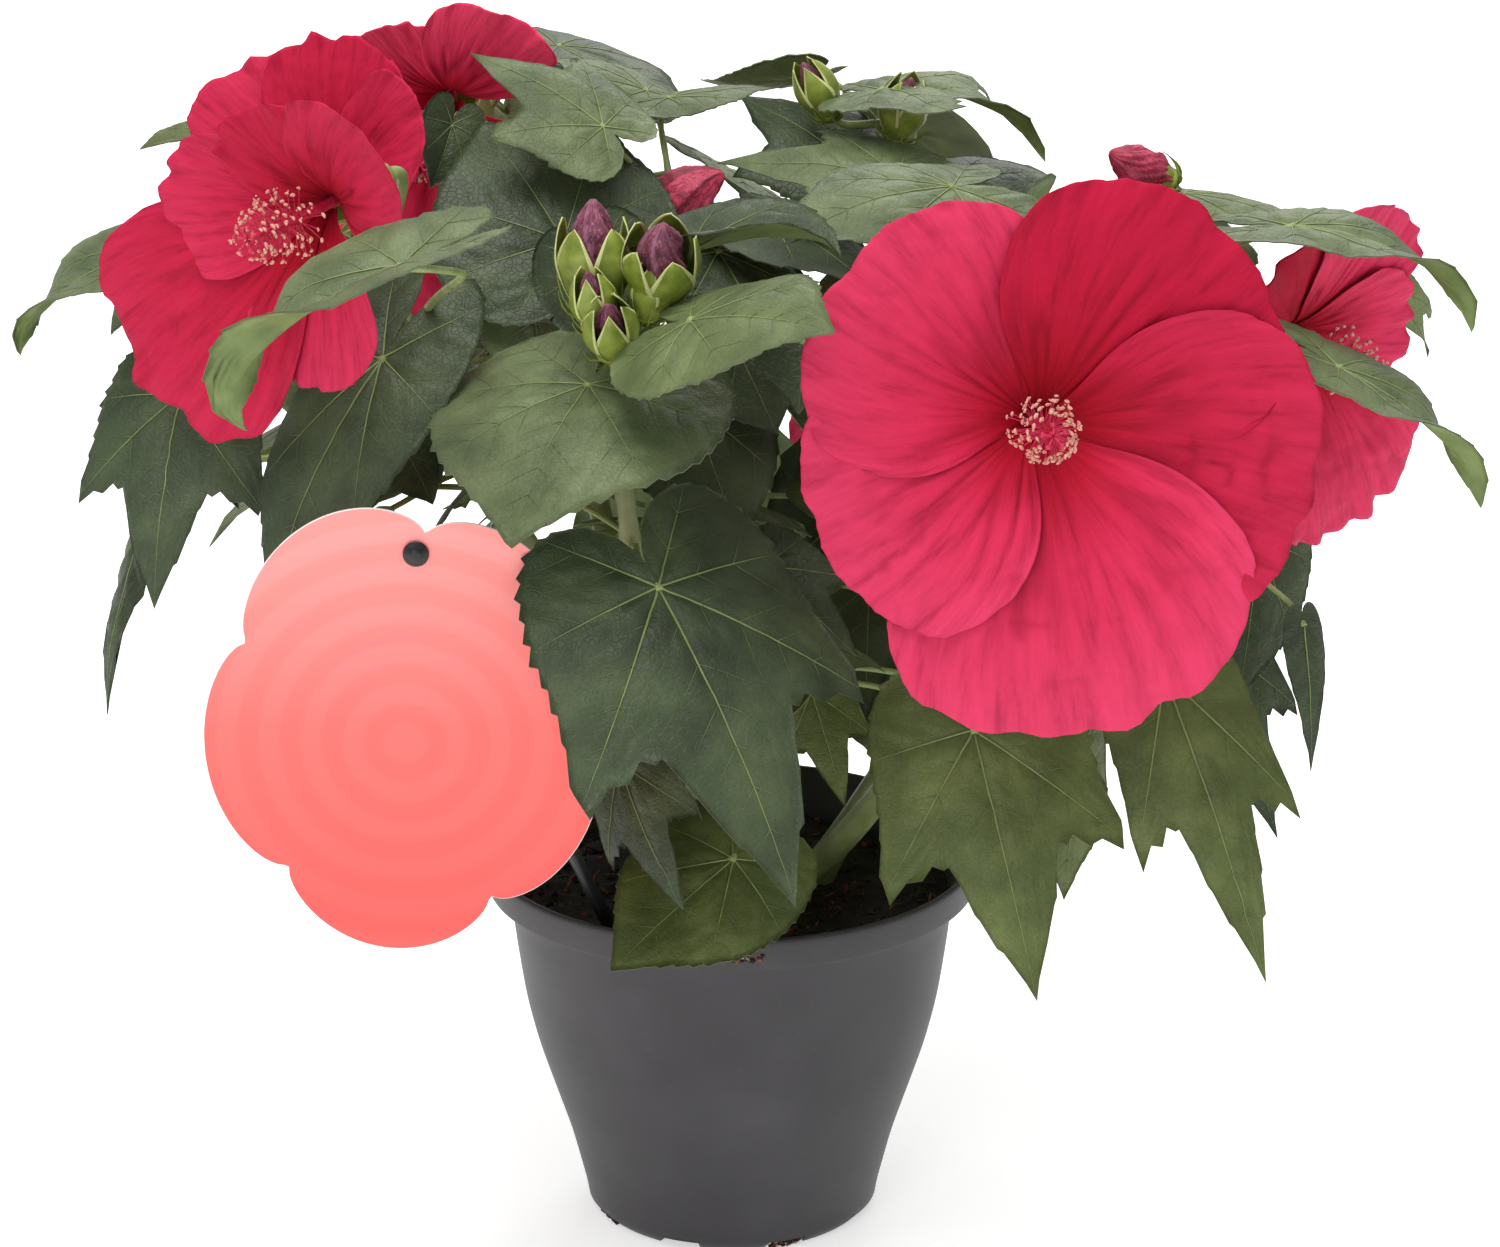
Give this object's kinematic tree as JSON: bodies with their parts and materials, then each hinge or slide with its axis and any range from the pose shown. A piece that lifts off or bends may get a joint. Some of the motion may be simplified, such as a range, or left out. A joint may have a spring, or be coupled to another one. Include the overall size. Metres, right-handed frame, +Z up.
{
  "type": "potted hibiscus",
  "caption": "Flowering hardy hibiscus shrub with lobed leaves, buds and large five-petalled red flowers, growing in a tapered nursery pot with a plain hanging care card.",
  "frame": {"origin": "centre of the pot's flat underside", "axes": "+Z up, -Y to the front, where the largest flower and the card face, +X to the viewer's right"},
  "size_m": [0.533, 0.4418, 0.4779],
  "materials": {
    "pot": "satin",
    "soil": "matte",
    "stems": "matte",
    "foliage": "satin",
    "petals": "satin",
    "card": "gloss",
    "stick": "satin"
  },
  "bodies": {
    "root": {"pot": "pot", "soil": "soil", "care_card": "card", "card_stick": "stick", "bough_front": "stems", "bough_left": "stems", "bough_upper_left": "stems", "bough_back": "stems", "bough_back_right": "stems", "bough_rear": "stems", "bough_right": "stems", "bough_front_right": "stems", "foliage_front": "foliage", "foliage_left": "foliage", "foliage_upper_left": "foliage", "foliage_back": "foliage", "foliage_back_right": "foliage", "foliage_rear": "foliage", "foliage_right": "foliage", "foliage_front_right": "foliage", "flower_front": "petals", "flower_left": "petals", "flower_upper_left": "petals", "flower_back_left": "petals", "flower_right": "petals", "flower_rear": "petals"}
  },
  "joints": []
}
